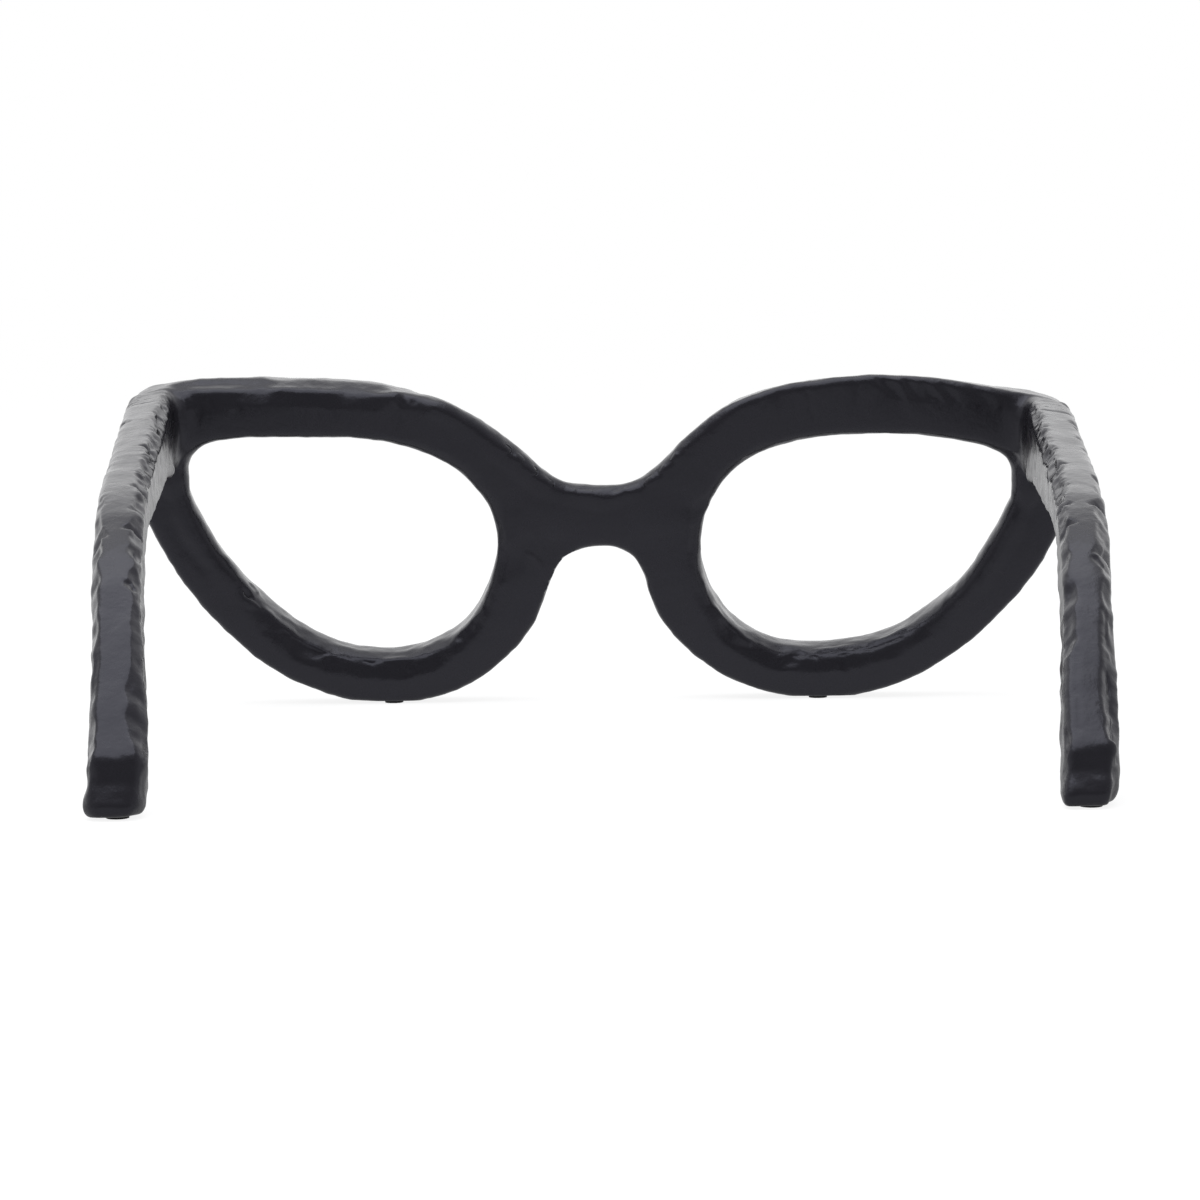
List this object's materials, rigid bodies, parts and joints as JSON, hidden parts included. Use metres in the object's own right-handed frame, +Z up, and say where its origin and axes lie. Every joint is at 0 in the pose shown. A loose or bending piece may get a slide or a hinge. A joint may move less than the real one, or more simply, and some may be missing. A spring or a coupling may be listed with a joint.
{
  "type": "eyeglasses sculpture",
  "caption": "Free-standing giant eyeglasses in satin black cast metal, with open rims, a saddle bridge and two open temples that stand on their tips.",
  "frame": {"origin": "on the standing surface, under the middle of the bounding box", "axes": "+X to the wearer's right, along the longest extent; +Y where the wearer looks, so the front is at +Y and the temple tips at -Y; +Z up, the shortest extent"},
  "size_m": [0.304, 0.2635, 0.1059],
  "materials": {
    "black_casting": "satin black paint with a fine orange peel over cast aluminium",
    "steel": "plain steel, hidden inside the corner joints",
    "felt": "thin black felt"
  },
  "bodies": {
    "root": {"front_frame": "black_casting", "left_temple": "black_casting", "right_temple": "black_casting", "left_corner_weld": "black_casting", "right_corner_weld": "black_casting", "left_corner_stud": "steel", "right_corner_stud": "steel", "left_corner_dowel": "steel", "right_corner_dowel": "steel", "left_rim_pad": "felt", "right_rim_pad": "felt", "left_tip_pad": "felt", "right_tip_pad": "felt"}
  },
  "joints": []
}
